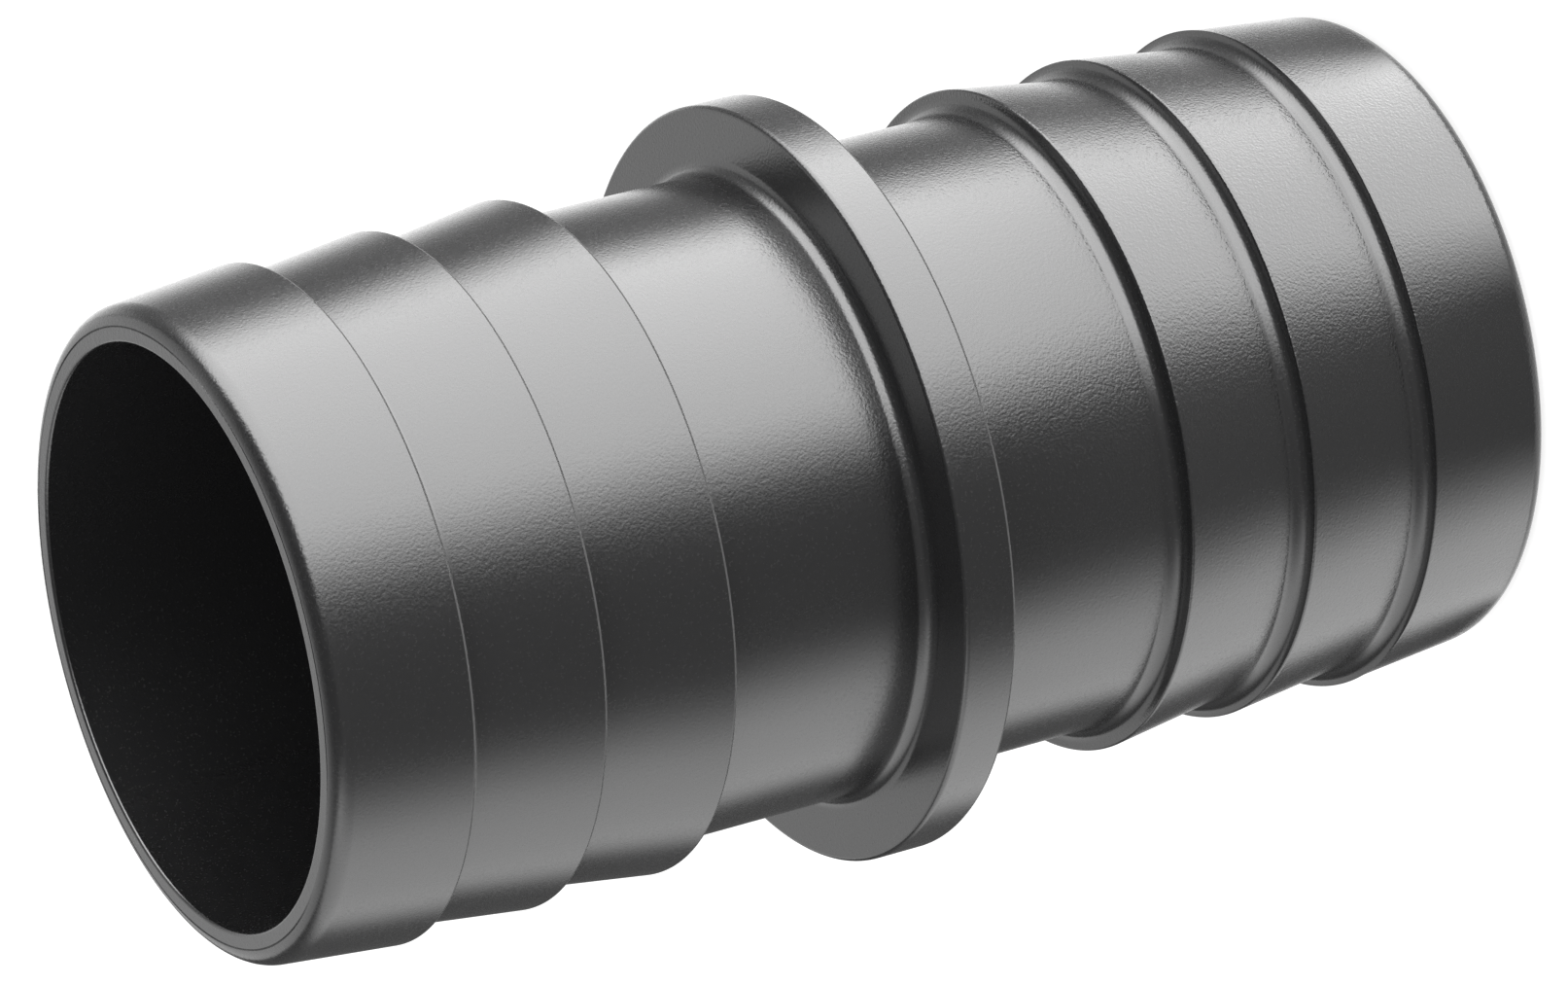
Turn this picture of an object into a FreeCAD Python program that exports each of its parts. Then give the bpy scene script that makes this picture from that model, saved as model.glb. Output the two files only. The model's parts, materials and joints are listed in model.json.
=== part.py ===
import FreeCAD, Part
import math
import os

os.makedirs("parts", exist_ok=True)

# Straight connector for two hoses of 38 mm bore, moulded in one piece of plastic.
# Its axis is Z, it stands on its lower end face at z = 0, and its halves are alike about the middle of the flange.
# Lengths are in millimetres and angles in degrees.

# Along the axis
nose_length = 8.4           # end face to the shoulder of the first barb
barb_pitch = 8.3            # one shoulder to the next
barb_count = 3              # barbs on each end
neck_length = 13.35         # last shoulder to the flange
flange_width = 3.3

# Across the axis, built outwards from the neck
neck_diameter = 37.2
wall = 1.4                  # neck to bore
barb_height = 1.4           # crest above the neck
nose_rise = 0.6             # foot of the first ramp above the neck
outer_root_rise = 0.4       # foot of the second ramp above the neck
inner_root_rise = 0.25      # foot of the last ramp above the neck
flange_height = 4.0         # flange rim above the neck

# Edges
crest_land = 0.25           # straight stretch on top of each barb, up to its sharp shoulder
nose_rounding = 1.3         # outer edge of each end
nose_flats = 4              # flats that follow that rounding
crease_angle = 8.0          # the angle at which it meets the end face, which leaves a fine ring there
root_fillet = 0.85          # foot of each shoulder
root_flats = 2
flange_bevel = 0.4          # foot of the flange
rim_bevel = 0.25            # both edges of the flange's rim
bore_bevel = 0.2            # inner edge of each end

# Worked out from the sizes above
neck_radius = neck_diameter / 2
bore_radius = neck_radius - wall
crest_radius = neck_radius + barb_height
nose_radius = neck_radius + nose_rise
flange_radius = neck_radius + flange_height
barbs_length = nose_length + (barb_count - 1) * barb_pitch
flange_foot = barbs_length + neck_length
overall_length = 2 * flange_foot + flange_width
middle = overall_length / 2


def at(radius, height):
    """Point of the section."""
    return FreeCAD.Vector(radius, 0, height)


def nose_arc():
    """Start, middle and end of the arc round an end's outer edge, from the ring on the end face to the first ramp."""
    ramp_angle = math.atan2(crest_radius - nose_radius, nose_length - crest_land)
    crease = math.radians(crease_angle)
    face_width = nose_radius - bore_radius - bore_bevel
    face_taken = 1 / math.cos(ramp_angle) - math.cos(crease) * math.tan(ramp_angle) - math.sin(crease)
    rounding = min(nose_rounding, 0.9 * face_width / face_taken)
    centre_height = rounding * math.cos(crease)
    centre_radius = nose_radius + centre_height * math.tan(ramp_angle) - rounding / math.cos(ramp_angle)
    last = math.pi / 2 - ramp_angle
    points = []
    for turn in (crease, (crease + last) / 2, last):
        points.append(at(centre_radius + rounding * math.sin(turn), centre_height - rounding * math.cos(turn)))
    return points


def root_radius(barb):
    """Radius at the foot of a barb's shoulder: a gentle taper between barbs, and the neck behind the last one."""
    if barb == barb_count - 1:
        return neck_radius
    share = barb / max(barb_count - 2, 1)
    return neck_radius + outer_root_rise + share * (inner_root_rise - outer_root_rise)


def barb_corners(barb):
    """Corners of one barb, each with its rounding and flats: ramp's end, crest and shoulder's foot."""
    shoulder = nose_length + barb * barb_pitch
    return [
        (at(crest_radius, shoulder - crest_land), 0, 0),
        (at(crest_radius, shoulder), 0, 0),
        (at(root_radius(barb), shoulder), root_fillet, root_flats),
    ]


def outer_corners():
    """Corners of the lower half's outside, each with its rounding and flats, from the first crest to the flange."""
    corners = []
    for barb in range(barb_count):
        corners += barb_corners(barb)
    corners.append((at(neck_radius, flange_foot), flange_bevel, 1))
    corners.append((at(flange_radius, flange_foot), rim_bevel, 1))
    return corners


def flats_along(start, crown, end, flats):
    """Points that divide the arc through three points into so many flats."""
    return Part.Arc(start, crown, end).toShape().discretize(flats + 1)


def rounded(before, corner, after):
    """Points that take a corner's place: the flats along the arc that touches both of its sides."""
    point, rounding, flats = corner
    if rounding == 0:
        return [point]
    to_before = before[0] - point
    to_after = after[0] - point
    half_angle = to_before.getAngle(to_after) / 2
    room_before = (0.49 if before[1] > 0 else 0.9) * to_before.Length
    room_after = (0.49 if after[1] > 0 else 0.9) * to_after.Length
    reach = min(rounding / math.tan(half_angle), room_before, room_after)
    to_before.normalize()
    to_after.normalize()
    depth = reach * (1 - math.sin(half_angle)) / math.cos(half_angle)
    crown = point + (to_before + to_after).normalize() * depth
    return flats_along(point + to_before * reach, crown, point + to_after * reach, flats)


def outer_points(start):
    """Points of the lower half's outside, from the nose's rounding to the middle of the flange's rim."""
    stops = [(start, 0, 0)] + outer_corners() + [(at(flange_radius, middle), 0, 0)]
    points = []
    for before, corner, after in zip(stops, stops[1:], stops[2:]):
        points += rounded(before, corner, after)
    return points


def section():
    """Section of the whole body: the lower half, its mirror image, and the lines of the rim and the bore between."""
    points = [at(bore_radius, bore_bevel), at(bore_radius + bore_bevel, 0)]
    points += flats_along(*nose_arc(), nose_flats)
    points += outer_points(points[-1])
    upper = [at(point.x, overall_length - point.z) for point in reversed(points)]
    return Part.Face(Part.makePolygon(points + upper + points[:1]))


body = section().revolve(at(0, 0), at(0, 1), 360)
body.exportStep("parts/connector_body.step")
print("overall length", round(overall_length, 3), "crest diameter", round(2 * crest_radius, 3))
print("volume", round(body.Volume / 1000, 3), "cm3, valid", body.isValid())
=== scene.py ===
import json
import math
import bpy
import numpy as np
from mathutils import Matrix, Vector

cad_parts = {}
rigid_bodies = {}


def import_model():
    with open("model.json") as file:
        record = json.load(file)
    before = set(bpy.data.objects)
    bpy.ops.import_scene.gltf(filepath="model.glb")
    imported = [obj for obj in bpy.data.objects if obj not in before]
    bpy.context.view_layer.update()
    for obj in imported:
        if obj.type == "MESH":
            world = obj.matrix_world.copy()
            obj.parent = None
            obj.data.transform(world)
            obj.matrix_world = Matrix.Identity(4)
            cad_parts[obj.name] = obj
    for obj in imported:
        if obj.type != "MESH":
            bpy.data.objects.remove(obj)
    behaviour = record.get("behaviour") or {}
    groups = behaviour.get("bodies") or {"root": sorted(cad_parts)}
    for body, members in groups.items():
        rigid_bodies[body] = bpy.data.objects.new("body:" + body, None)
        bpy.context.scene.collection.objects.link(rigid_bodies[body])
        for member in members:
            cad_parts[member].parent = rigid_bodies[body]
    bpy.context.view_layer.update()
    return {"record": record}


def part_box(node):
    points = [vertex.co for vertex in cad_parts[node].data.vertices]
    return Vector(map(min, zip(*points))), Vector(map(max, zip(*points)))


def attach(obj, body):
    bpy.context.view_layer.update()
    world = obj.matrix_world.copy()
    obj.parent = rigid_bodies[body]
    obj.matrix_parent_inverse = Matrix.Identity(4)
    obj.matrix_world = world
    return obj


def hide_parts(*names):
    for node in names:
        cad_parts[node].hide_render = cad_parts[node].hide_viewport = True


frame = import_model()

# A straight barbed hose connector that stands on its lower end face at the origin. Lengths are in millimetres
# and angles in degrees, and the meshes are made in metres. Round the axis, 0 degrees faces the camera and +90
# is +X.

mm = 0.001
lowCorner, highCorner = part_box("connector_body")
mountSizes = {mount["name"]: mount["dims"] for mount in frame["record"]["mounts"]}


# helpers for nodes

def addNode(tree, kind, settings=None, **inputs):
    # A node of that kind with its settings, and each input set to a value or joined to another node's output.
    # An input goes by its name, with _ for a space, or by _ and its number.
    node = tree.nodes.new(kind)
    for name, value in (settings or {}).items():
        setattr(node, name, value)
    for name, value in inputs.items():
        socket = node.inputs[int(name[1:])] if name[0] == "_" else node.inputs[name.replace("_", " ")]
        if isinstance(value, bpy.types.NodeSocket):
            tree.links.new(value, socket)
        else:
            socket.default_value = value
    return node


def multiplied(tree, first, second):
    return addNode(tree, "ShaderNodeMath", {"operation": "MULTIPLY"}, _0=first, _1=second).outputs[0]


def ranged(tree, value, source, target, steps="LINEAR"):
    # the source range carried over to the target range, and held at its ends
    return addNode(tree, "ShaderNodeMapRange", {"interpolation_type": steps}, Value=value, From_Min=source[0],
                   From_Max=source[1], To_Min=target[0], To_Max=target[1]).outputs[0]


def emptyMaterial(name):
    # a new material with nothing in it but its output
    material = bpy.data.materials.new(name)
    material.use_nodes = True
    material.node_tree.nodes.clear()
    return material, material.node_tree, material.node_tree.nodes.new("ShaderNodeOutputMaterial")


# the connector's shape

connector = {
    "noseLength": 8.4,          # end face to the first shoulder
    "barbPitch": 8.3,           # one shoulder to the next
    "flangeWidth": 3.3,
    "neckRadius": 18.6,
    "noseRadius": 19.2,         # where the first ramp would meet the end face
    "rootRises": (0.4, 0.25, 0.0),  # foot of each shoulder above the neck
    "crestLand": 0.04,          # straight stretch on each crest, before its rounding
    "upperEdge": 0.18,          # rounding of the edges that face down: upper crests, flange's lower rim
    "lowerCrest": 0.13,         # rounding of the lower crests
    "upperRim": 0.3,            # rounding of the flange's upper rim
    "upperRoot": 0.5,           # fillet at the foot of each shoulder, on the upper half
    "lowerRoot": 0.95,          # the same on the lower half
    "flangeFillet": 0.88,
    "boreRounding": 0.2,
    "creaseRadius": 18.2,       # ring on the end face where the nose's rounding starts
    "creaseAngle": 8.0,
    "ringWidth": 0.12,          # groove of that ring
    "ringDepth": 0.06,
    "arcSteps": 8,              # faces across each rounding
    "aroundSteps": 384,
}
finer, plain, paintedLine = -1, 0, 1    # finish of a rounding: finer grain, like the walls, or matt with a grey painted light line


def halfCorners(c, boreRadius, crestRadius, flangeRadius, length, crest, root, rim):
    # Corners of the lower half's section, from the bore out to the flange's rim, as rows of radius, height,
    # rounding and finish. crest and rim are the last two of their own corners, and root is the fillet of the
    # shoulders.
    slope = math.tan(math.radians(c["creaseAngle"]))
    taper = (crestRadius - c["noseRadius"]) / (c["noseLength"] - c["crestLand"])
    tipHeight = slope * (c["noseRadius"] - c["creaseRadius"]) / (1 - slope * taper)
    tipRadius = c["noseRadius"] + taper * tipHeight
    turn = math.pi / 2 - math.radians(c["creaseAngle"]) - math.atan(taper)
    noseRounding = math.hypot(tipRadius - c["creaseRadius"], tipHeight) / math.tan(turn / 2)
    rows = [
        (boreRadius, 0, c["boreRounding"], plain),
        (c["creaseRadius"] - c["ringWidth"], 0, 0, plain),
        (c["creaseRadius"] - c["ringWidth"] / 2, c["ringDepth"], 0, plain),
        (c["creaseRadius"], 0, 0, plain),
        (tipRadius, tipHeight, noseRounding, plain),
    ]
    for i, rise in enumerate(c["rootRises"]):
        shoulder = c["noseLength"] + i * c["barbPitch"]
        rows += [
            (crestRadius, shoulder - c["crestLand"] - crest[0], 0, plain),
            (crestRadius, shoulder, *crest),
            (c["neckRadius"] + rise, shoulder, root, finer),
        ]
    flangeFoot = (length - c["flangeWidth"]) / 2
    rows += [(c["neckRadius"], flangeFoot, c["flangeFillet"], plain), (flangeRadius, flangeFoot, *rim)]
    return np.array(rows)


def roundedSection(rows, steps):
    # Closed section from rows of radius, height, rounding and finish. Each rounded corner becomes the arc
    # that touches both of its sides: centre = corner - side before it * reach - that side's normal *
    # rounding, where reach = rounding * tan(turn / 2), and point = centre + normal turned so far * rounding.
    # In a fillet the normals count the other way round. Gives the points, each one's normal on the side
    # before it and on the side after it, and the finish of the side after it.
    points, before, after, finishes = [], [], [], []
    corners = rows[:, :2]
    alongs = np.roll(corners, -1, axis=0) - corners
    alongs /= np.linalg.norm(alongs, axis=1)[:, None]
    normals = np.stack([alongs[:, 1], -alongs[:, 0]], axis=1)   # outwards, as the section runs anticlockwise
    for i, (corner, rounding, finish) in enumerate(zip(corners, rows[:, 2], rows[:, 3])):
        first, last = normals[i - 1], normals[i]
        if rounding == 0:
            points.append(corner[None])
            before.append(first[None])
            after.append(last[None])
            finishes.append([plain])
            continue
        turn = math.atan2(first[0] * last[1] - first[1] * last[0], first @ last)
        side = math.copysign(1.0, turn)     # +1 on an outer corner, -1 in a fillet
        reach = rounding * math.tan(abs(turn) / 2)
        centre = corner - alongs[i - 1] * reach - first * rounding * side
        turns = math.atan2(first[1], first[0]) + turn * np.linspace(0, 1, steps + 1)
        arcNormals = np.stack([np.cos(turns), np.sin(turns)], axis=1)
        points.append(centre + arcNormals * rounding * side)
        before.append(arcNormals)
        after.append(arcNormals)
        finishes.append([finish] * steps + [plain])
    return [np.concatenate(part) for part in (points, before, after, finishes)]


def turnedMesh(name, points, before, after, finishes, around):
    # The section turned once round Z: x = radius * sin(angle), y = -radius * cos(angle), z = height. Every
    # face carries the section's own normals at its corners, so an arc shades as an arc and a sharp edge stays
    # sharp.
    rowCount = len(points)
    angles = np.linspace(0, 2 * np.pi, around, endpoint=False)
    ring = np.stack([np.sin(angles), -np.cos(angles)], axis=1)
    xy = points[:, None, 0, None] * ring[None]
    z = np.broadcast_to(points[:, None, 1, None], (rowCount, around, 1))
    vertices = np.concatenate([xy, z], axis=2).reshape(-1, 3) * mm
    row, column = np.meshgrid(np.arange(rowCount), np.arange(around), indexing="ij")
    nextRow, nextColumn = (row + 1) % rowCount, (column + 1) % around
    faceRows = np.stack([row, row, nextRow, nextRow], axis=-1)
    faceColumns = np.stack([column, nextColumn, nextColumn, column], axis=-1)
    faces = (faceRows * around + faceColumns).reshape(-1, 4)
    mesh = bpy.data.meshes.new(name)
    mesh.vertices.add(len(vertices))
    mesh.vertices.foreach_set("co", vertices.ravel())
    mesh.loops.add(faces.size)
    mesh.loops.foreach_set("vertex_index", faces.ravel())
    mesh.polygons.add(len(faces))
    mesh.polygons.foreach_set("loop_start", np.arange(0, faces.size, 4))
    mesh.polygons.foreach_set("use_smooth", np.ones(len(faces), dtype=bool))
    mesh.update(calc_edges=True)
    mesh.validate()
    starts, ends = after, np.roll(before, -1, axis=0)   # a face runs from its own row up to the next one
    section = np.stack([starts, starts, ends, ends], axis=1)[:, None]
    spokes = ring[faceColumns]
    flat = np.broadcast_to(section[..., :1], spokes.shape[:-1] + (1,)) * spokes
    up = np.broadcast_to(section[..., 1:], spokes.shape[:-1] + (1,))
    mesh.normals_split_custom_set(np.concatenate([flat, up], axis=-1).reshape(-1, 3).tolist())
    finish = mesh.attributes.new("finish", "FLOAT", "CORNER")
    finish.data.foreach_set("value", np.repeat(finishes, around * 4))
    return mesh


def mouldedBody(c):
    length = (highCorner[2] - lowCorner[2]) / mm
    sizes = (mountSizes["bore"]["r_mm"], mountSizes["hose_end_top"]["r_mm"], highCorner[0] / mm, length)
    # the edges that face down are matt and carry a grey painted light line
    paintedEdge = (c["upperEdge"], paintedLine)
    lower = halfCorners(c, *sizes, (c["lowerCrest"], plain), c["lowerRoot"], paintedEdge)
    upper = halfCorners(c, *sizes, paintedEdge, c["upperRoot"], (c["upperRim"], plain))
    upper = upper[::-1] * (1, -1, 1, 1) + (0, length, 0, 0)     # mirrored, and in the section's order
    section = roundedSection(np.concatenate([lower, upper]), c["arcSteps"])
    mesh = turnedMesh("mouldedBody", *section, c["aroundSteps"])
    body = bpy.data.objects.new("mouldedBody", mesh)
    bpy.context.scene.collection.objects.link(body)
    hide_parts("connector_body")
    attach(body, "root")
    print("body: rows", len(section[0]), "faces", len(mesh.polygons))
    return body


body = mouldedBody(connector)


# charcoal plastic

plastic = {
    "colour": (0.015, 0.015, 0.0155, 1),
    "roughness": 0.24,
    "roughnessSpread": 0.04,    # either way, as the grain's noise goes over its range
    "grainRange": (0.3, 0.7),   # of that noise
    "grainSize": 0.17,
    "grainHeight": 0.0125,      # at the upper end, whose half of the mould is finer
    "lowerGrain": 2.8,          # times as high at the lower end
    "heightTurn": (8.0, 50.0),  # height over which one grain turns into the other
    "sideGrain": 0.35,          # times as high on the -X side
    "sideTurn": (-9.0, -1.0),   # x over which it changes
    "filletGrain": 0.3,         # times as high in the shoulders' fillets
    "waveSize": 9.0,
    "waveHeight": 0.02,
    "scuffColour": (0.09, 0.09, 0.09, 1),   # grey of a fine matt line on the edges that face down: a painted light line
    "scuffRoughness": 1.0,
    "patchRange": (0.3, 0.6),   # of the waves' noise, from the least to the most of that line
    "patchShares": (0.8, 1.0),  # that least and most
}


def charcoalPlastic(p):
    # Height = fine grain * share by height * share by side * share in fillets + long slow waves from the
    # mould. Roughness = plain value + a little of the grain's own noise. Along the edges that face down the
    # colour goes to a grey that paints a light line, and the roughness to matt, more or less so in patches.
    material, tree, output = emptyMaterial("charcoalPlastic")
    place = addNode(tree, "ShaderNodeTexCoord").outputs["Object"]
    axes = addNode(tree, "ShaderNodeSeparateXYZ", _0=place).outputs
    finish = addNode(tree, "ShaderNodeAttribute", {"attribute_name": "finish"}).outputs["Fac"]
    grain = addNode(tree, "ShaderNodeTexNoise", Vector=place, Scale=1 / (p["grainSize"] * mm), Detail=1.0,
                    Roughness=0.5).outputs["Fac"]
    waves = addNode(tree, "ShaderNodeTexNoise", Vector=place, Scale=1 / (p["waveSize"] * mm),
                    Detail=0.0).outputs["Fac"]
    heights, sides = ([end * mm for end in p[turn]] for turn in ("heightTurn", "sideTurn"))
    byHeight = ranged(tree, axes["Z"], heights, (p["lowerGrain"], 1.0), "SMOOTHSTEP")
    bySide = ranged(tree, axes["X"], sides, (p["sideGrain"], 1.0), "SMOOTHSTEP")
    inFillets = ranged(tree, finish, (finer, plain), (p["filletGrain"], 1.0))
    relief = grain
    for share in (byHeight, bySide, inFillets):
        relief = multiplied(tree, relief, share)
    waved = addNode(tree, "ShaderNodeBump", Height=waves, Strength=1.0, Distance=p["waveHeight"] * mm)
    grained = addNode(tree, "ShaderNodeBump", Height=relief, Strength=1.0, Distance=p["grainHeight"] * mm,
                      Normal=waved.outputs["Normal"])
    spread = (p["roughness"] - p["roughnessSpread"], p["roughness"] + p["roughnessSpread"])
    roughness = ranged(tree, grain, p["grainRange"], spread)
    # painted light line: share of the grey colour along the edges that face down, in patches
    paintedLineShare = multiplied(tree, finish, ranged(tree, waves, p["patchRange"], p["patchShares"]))
    tinted = addNode(tree, "ShaderNodeMix", {"data_type": "RGBA"}, _0=paintedLineShare, _6=p["colour"],
                     _7=p["scuffColour"])
    roughed = addNode(tree, "ShaderNodeMix", {"data_type": "FLOAT"}, _0=paintedLineShare, _2=roughness,
                      _3=p["scuffRoughness"])
    shader = addNode(tree, "ShaderNodeBsdfPrincipled", Base_Color=tinted.outputs[2],
                     Roughness=roughed.outputs[0], Normal=grained.outputs["Normal"])
    tree.links.new(shader.outputs[0], output.inputs["Surface"])
    return material


body.data.materials.append(charcoalPlastic(plastic))
print("material: charcoalPlastic")


# white table, world and lamp

table = {
    "size": 6000.0,
    "colour": (0.45, 0.45, 0.45, 1),
    "lift": 0.8,                # added where the camera or a reflection sees the table
}
sky = {
    "level": 0.75,              # light on the object
    "seenLevel": 1.0,           # white, as the camera and reflections see it
}
topLamp = {
    "place": (-120.0, -260.0, 620.0),
    "aim": (0.0, 0.0, 40.0),
    "size": 500.0,
    "power": 1.1,               # watts
}


def seenRays(tree):
    # 1 for camera, glossy and transmission rays, and 0 for the rest
    path = addNode(tree, "ShaderNodeLightPath").outputs
    some = addNode(tree, "ShaderNodeMath", _0=path["Is Camera Ray"], _1=path["Is Glossy Ray"])
    return addNode(tree, "ShaderNodeMath", {"use_clamp": True}, _0=some.outputs[0],
                   _1=path["Is Transmission Ray"]).outputs[0]


def addSheet(name, points, faces, material):
    # an object with a mesh through those points, which are in millimetres
    mesh = bpy.data.meshes.new(name)
    mesh.from_pydata((np.array(points) * mm).tolist(), [], faces)
    mesh.materials.append(material)
    sheet = bpy.data.objects.new(name, mesh)
    bpy.context.scene.collection.objects.link(sheet)
    return sheet


def whiteTable(t):
    material, tree, output = emptyMaterial("whiteTable")
    lift = multiplied(tree, seenRays(tree), t["lift"])
    shader = addNode(tree, "ShaderNodeBsdfPrincipled", Base_Color=t["colour"], Roughness=1.0,
                     Emission_Color=(1, 1, 1, 1), Emission_Strength=lift)
    shader.inputs["Specular IOR Level"].default_value = 0.0
    tree.links.new(shader.outputs[0], output.inputs["Surface"])
    half = t["size"] / 2
    corners = [(-half, -half, 0), (half, -half, 0), (half, half, 0), (-half, half, 0)]
    sheet = addSheet("table", corners, [(0, 1, 2, 3)], material)


def whiteSky(s):
    world = bpy.data.worlds.new("whiteSky")
    world.use_nodes = True
    tree = world.node_tree
    tree.nodes.clear()
    extra = addNode(tree, "ShaderNodeMath", {"operation": "MULTIPLY_ADD"}, _0=seenRays(tree),
                    _1=s["seenLevel"] - s["level"], _2=s["level"])
    light = addNode(tree, "ShaderNodeBackground", Color=(1, 1, 1, 1), Strength=extra.outputs[0])
    output = tree.nodes.new("ShaderNodeOutputWorld")
    tree.links.new(light.outputs[0], output.inputs["Surface"])
    bpy.context.scene.world = world


def areaLamp(name, lamp):
    light = bpy.data.lights.new(name, "AREA")
    light.shape = "SQUARE"
    light.size = lamp["size"] * mm
    light.energy = lamp["power"]
    holder = bpy.data.objects.new(name, light)
    place = Vector(lamp["place"]) * mm
    holder.location = place
    holder.rotation_euler = (Vector(lamp["aim"]) * mm - place).to_track_quat("-Z", "Y").to_euler()
    holder.visible_glossy = False
    bpy.context.scene.collection.objects.link(holder)


whiteTable(table)
whiteSky(sky)
areaLamp("topLamp", topLamp)
print("stage: table, sky and lamp")


# surroundings, which only the connector's gloss sees

# Seen from the camera, a wall of the connector at an angle round its axis mirrors the surroundings along a
# line that runs out at twice that angle. One sheet is ruled by such lines: it lies on the table out to the
# bend, and stands up from there. Each row is one line: its angle close to the foot and far off, how high the
# sheet stands up there, and its glow close by and far off. Between two rows all of these pass smoothly from
# one to the other.
surroundings = {
    "edgeStart": (-91.0, -90.0, 60.0, 2.0, 0.3),
    "edgeDark": (-80.0, -82.0, 60.0, 0.14, 0.13),
    "fillStart": (-69.5, -69.0, 500.0, 0.14, 0.16),
    "fillLow": (-62.0, -60.5, 800.0, 2.5, 2.45),
    "fillHigh": (-44.5, -44.5, 800.0, 3.6, 3.4),
    "frontStart": (-25.5, -27.5, 500.0, 0.6, 0.5),
    "keyStart": (-1.5, -3.0, 620.0, 0.75, 0.5),
    "keyLow": (17.5, 12.5, 620.0, 9.2, 10.3),
    "keyMiddle": (32.0, 32.0, 600.0, 9.3, 11.4),
    "keyHigh": (47.0, 48.0, 560.0, 9.0, 10.6),
    "topStart": (59.0, 59.0, 500.0, 0.65, 0.5),
    "topDark": (68.0, 69.0, 400.0, 0.55, 0.45),
    "backStart": (83.0, 82.0, 60.0, 2.0, 2.0),
    "backEnd": (96.0, 92.0, 60.0, 2.0, 2.0),
}
ruledSheet = {
    "start": 19.6,              # radius that the lines start from
    "turnOver": (36.0, 76.0),   # distances over which they go from their near to their far angle and glow
    "bend": 500.0,              # distance at which the sheet turns upright
    "height": 0.05,             # above the table
    "topFade": 0.25,            # share of the upright part that fades into the dark above
    "darkness": 0.2,            # glow of that dark
    "across": 24,               # faces from one row to the next
    "along": (48, 12),          # faces on the lying and on the upright part
}
footDisc = {
    "radius": 19.8,
    "innerShare": 0.8,          # of the radius, where the disc's hole ends
    "height": 0.06,             # above the table
    "glow": 1.3,
    "around": 96,               # faces
}
canopy = {
    "radius": 1200.0,
    "halfWidth": 4000.0,
    "turn": (0.0, 178.0),       # from the horizon in front, over the top, to the horizon behind
    "fade": (88.0, 140.0),      # where it goes from dark to light
    "backGlow": 1.25,
    "around": 60,               # faces
}


def smooth(value, low, high):
    # 0 below low, 1 above high, and 3 t^2 - 2 t^3 between
    t = np.clip((value - low) / (high - low), 0, 1)
    return t * t * (3 - 2 * t)


def glowMaterial():
    # plain light, as strong as the sheet's own "glow" says
    material, tree, output = emptyMaterial("glowSheet")
    glow = addNode(tree, "ShaderNodeAttribute", {"attribute_name": "glow"})
    light = addNode(tree, "ShaderNodeEmission", Color=(1, 1, 1, 1), Strength=glow.outputs["Fac"])
    tree.links.new(light.outputs[0], output.inputs["Surface"])
    return material


def glowSheet(name, x, y, z, glow, material):
    # a sheet through a grid of points, each with its glow, that nothing but a reflection sees
    x, y, z, glow = np.broadcast_arrays(x, y, z, glow)
    index = np.arange(glow.size).reshape(glow.shape)
    faces = np.stack([index[:-1, :-1], index[:-1, 1:], index[1:, 1:], index[1:, :-1]], axis=-1).reshape(-1, 4)
    sheet = addSheet(name, np.stack([x, y, z], axis=-1).reshape(-1, 3), faces.tolist(), material)
    sheet.data.attributes.new("glow", "FLOAT", "POINT").data.foreach_set("value", glow.ravel())
    for rays in ("camera", "diffuse", "transmission", "volume_scatter", "shadow"):
        setattr(sheet, "visible_" + rays, False)


def ruledSurroundings(rows, r, material):
    # Point = start radius * direction(angle) + distance * direction(2 * angle). Along a line the distance
    # grows to the bend and then stays, while the height grows. Angles and heights pass from row to row in
    # straight lines and the glow by smooth steps.
    rows = np.array(list(rows.values()))
    u = np.linspace(0, len(rows) - 1, r["across"] * (len(rows) - 1) + 1)
    row = np.minimum(u.astype(int), len(rows) - 2)
    t = (u - row)[:, None]
    straight = rows[row] + t * (rows[row + 1] - rows[row])
    soft = rows[row] + smooth(t, 0, 1) * (rows[row + 1] - rows[row])
    lying, upright = (np.linspace(0, 1, faces + 1) for faces in r["along"])
    out = np.append(r["bend"] * lying ** 2, np.full(len(upright) - 1, r["bend"]))
    rise = np.append(np.zeros(len(lying)), upright[1:])
    far = smooth(out, *r["turnOver"])
    angle = np.radians(straight[:, 0, None] + far * (straight[:, 1] - straight[:, 0])[:, None])
    x = r["start"] * np.sin(angle) + out * np.sin(2 * angle)
    y = -r["start"] * np.cos(angle) - out * np.cos(2 * angle)
    z = r["height"] + rise * straight[:, 2, None]
    glow = soft[:, 3, None] + far * (soft[:, 4] - soft[:, 3])[:, None]
    glow = glow + smooth(rise, 1 - r["topFade"], 1) * (r["darkness"] - glow)
    glowSheet("ruledSheet", x, y, z, glow, material)


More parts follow.
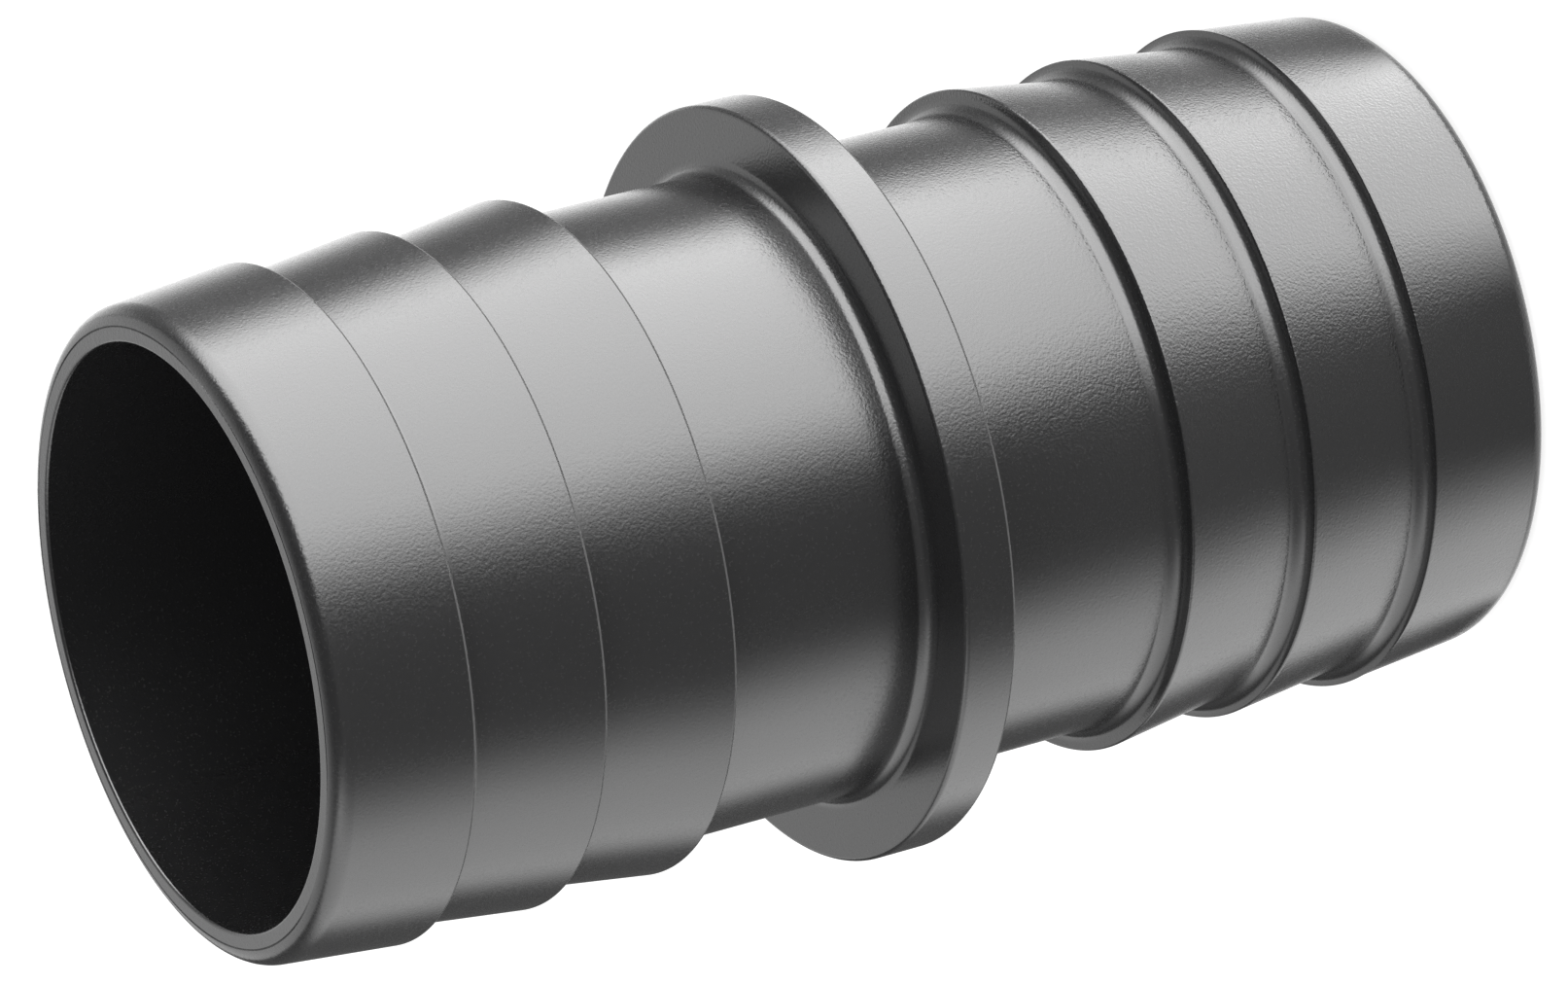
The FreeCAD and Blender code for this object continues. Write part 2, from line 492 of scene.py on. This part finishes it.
def discUnderFoot(f, material):
    # A disc with a hole, just above the table: x and y = radius * share * sine and cosine of the angle.
    angles = np.linspace(0, 2 * np.pi, f["around"] + 1)
    share, angle = np.meshgrid((f["innerShare"], 1.0), angles, indexing="ij")
    x, y = f["radius"] * share * np.sin(angle), f["radius"] * share * np.cos(angle)
    glowSheet("footDisc", x, y, f["height"], f["glow"], material)


def darkCanopy(c, darkness, material):
    # A half tube over the table along X: y = -radius * cos(turn), z = radius * sin(turn). It is dark in front
    # and above, and light towards the back.
    turns = np.linspace(*c["turn"], c["around"] + 1)
    x, turns = np.meshgrid((-c["halfWidth"], c["halfWidth"]), turns, indexing="ij")
    glow = darkness + smooth(turns, *c["fade"]) * (c["backGlow"] - darkness)
    y, z = -c["radius"] * np.cos(np.radians(turns)), c["radius"] * np.sin(np.radians(turns))
    glowSheet("canopy", x, y, z, glow, material)


glowing = glowMaterial()
ruledSurroundings(surroundings, ruledSheet, glowing)
discUnderFoot(footDisc, glowing)
darkCanopy(canopy, ruledSheet["darkness"], glowing)
print("stage: what the gloss sees, in", len(surroundings), "rows")


# camera

camera = {
    "forward": (0.0, 0.898, -0.440),
    "roll": 104.64,             # about the line of sight
    "aim": (0.0, 0.0, 40.0),
    "distance": 588.08,
    "offset": (-0.544, -0.774),     # how far to the right of the aim, and above it, the line of sight passes
    "lens": 231.45,
    "sensorWidth": 36.0,
}


def viewCamera(c):
    # Place = aim + offset along the picture's right and up - distance * forward.
    forward = Vector(c["forward"]).normalized()
    turn = Matrix.Rotation(math.radians(c["roll"]), 3, forward)
    level = forward.cross(Vector((0, 0, 1))).normalized()
    right = turn @ level
    up = turn @ level.cross(forward)
    aside = c["offset"][0] * right + c["offset"][1] * up
    place = (Vector(c["aim"]) + aside - c["distance"] * forward) * mm
    lens = bpy.data.cameras.new("viewCamera")
    lens.lens = c["lens"]
    lens.sensor_width = c["sensorWidth"]
    holder = bpy.data.objects.new("viewCamera", lens)
    holder.matrix_world = Matrix.Translation(place) @ Matrix((right, up, -forward)).transposed().to_4x4()
    bpy.context.scene.collection.objects.link(holder)
    bpy.context.scene.camera = holder
    print("camera: right", tuple(round(v, 4) for v in right), "up", tuple(round(v, 4) for v in up))


viewCamera(camera)
bpy.context.scene.view_settings.view_transform = "Standard"

bpy.context.view_layer.update()
